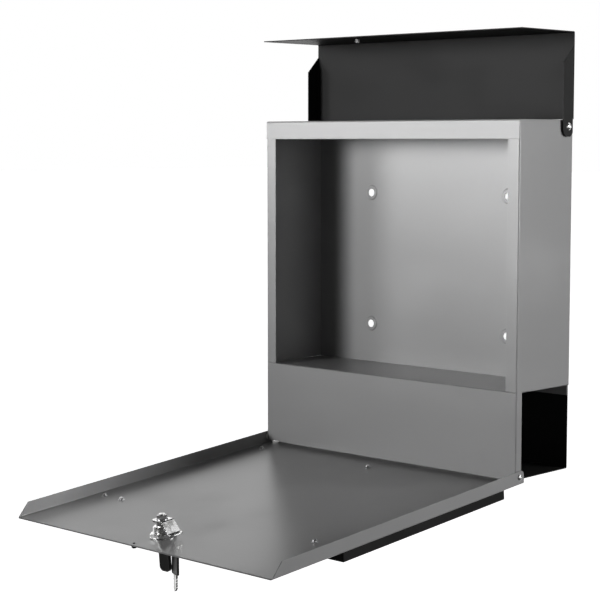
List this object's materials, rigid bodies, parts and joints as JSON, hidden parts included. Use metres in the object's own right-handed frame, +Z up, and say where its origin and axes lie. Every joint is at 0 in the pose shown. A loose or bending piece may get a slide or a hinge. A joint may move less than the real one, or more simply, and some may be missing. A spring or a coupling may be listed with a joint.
{
  "type": "wall letterbox",
  "caption": "Wall-hung sheet-metal letterbox: lockable front door hinged at the bottom, lift-up lid over a letter slot, open newspaper compartment below. Stored with door and lid open.",
  "frame": {"origin": "point of the back face midway between the four wall holes", "axes": "+X to the right seen from the front, +Y towards the wall, +Z up"},
  "size_m": [0.3624, 0.4488, 0.5388],
  "materials": {
    "silver_coat": "fine textured silver-grey powder coat",
    "black_coat": "satin black powder coat",
    "black_gloss": "black semi-gloss coat",
    "bright_metal": "bright nickel plate",
    "spring_steel": "zinc-plated spring steel",
    "brass": "stamped brass",
    "white_nylon": "natural nylon",
    "clear_plastic": "pale soft plastic",
    "black_plastic": "moulded black plastic",
    "black_rubber": "matte rubber"
  },
  "bodies": {
    "box": {"front_frame": "silver_coat", "back_panel": "silver_coat", "top_panel": "silver_coat", "mail_floor": "silver_coat", "newspaper_tray": "black_coat", "door_hinge_rivets": "bright_metal", "door_hinge_washers": "white_nylon", "lid_hinge_rivets": "bright_metal", "lid_hinge_washers": "white_nylon"},
    "lid": {"lid_cover": "black_coat", "lid_buffer": "clear_plastic"},
    "door": {"door_panel": "silver_coat", "door_cover": "black_gloss", "cover_studs": "bright_metal", "cover_push_nuts": "spring_steel", "door_buffer": "black_rubber", "lock_housing": "bright_metal", "lock_washer": "bright_metal", "lock_nut": "bright_metal"},
    "lock": {"lock_plug": "bright_metal", "lock_wafers": "brass", "lock_cam": "bright_metal", "cam_washer": "spring_steel", "cam_nut": "spring_steel"},
    "key": {"key_blade": "bright_metal", "key_head": "black_plastic"},
    "ring": {"key_ring": "spring_steel"},
    "spare_key": {"spare_key_blade": "bright_metal", "spare_key_head": "black_plastic"}
  },
  "joints": [
    {"name": "lid_hinge", "type": "hinge", "parent": "box", "child": "lid", "pos_m": [0, -0.0105, 0.1495], "axis": [1, 0, 0], "range_deg": [0, 90]},
    {"name": "door_hinge", "type": "hinge", "parent": "box", "child": "door", "pos_m": [0, -0.0885, -0.206], "axis": [-1, 0, 0], "range_deg": [0, 94.9]},
    {"name": "lock_turn", "type": "hinge", "parent": "door", "child": "lock", "pos_m": [0, -0.41312, -0.24186], "axis": [0, 0.0854, -0.9963], "range_deg": [0, 90]},
    {"name": "key_pull", "type": "slide", "parent": "lock", "child": "key", "axis": [0, 0.0854, -0.9963], "range_m": [0, 0.03]},
    {"name": "ring_swing", "type": "hinge", "parent": "key", "child": "ring", "pos_m": [-0.005, -0.41282, -0.24545], "axis": [0, -0.9963, -0.0854], "range_deg": [0, 12]},
    {"name": "spare_key_swing", "type": "hinge", "parent": "ring", "child": "spare_key", "pos_m": [0.0155, -0.4124, -0.25033], "axis": [0, -0.9963, -0.0854], "range_deg": [0, 25]}
  ]
}
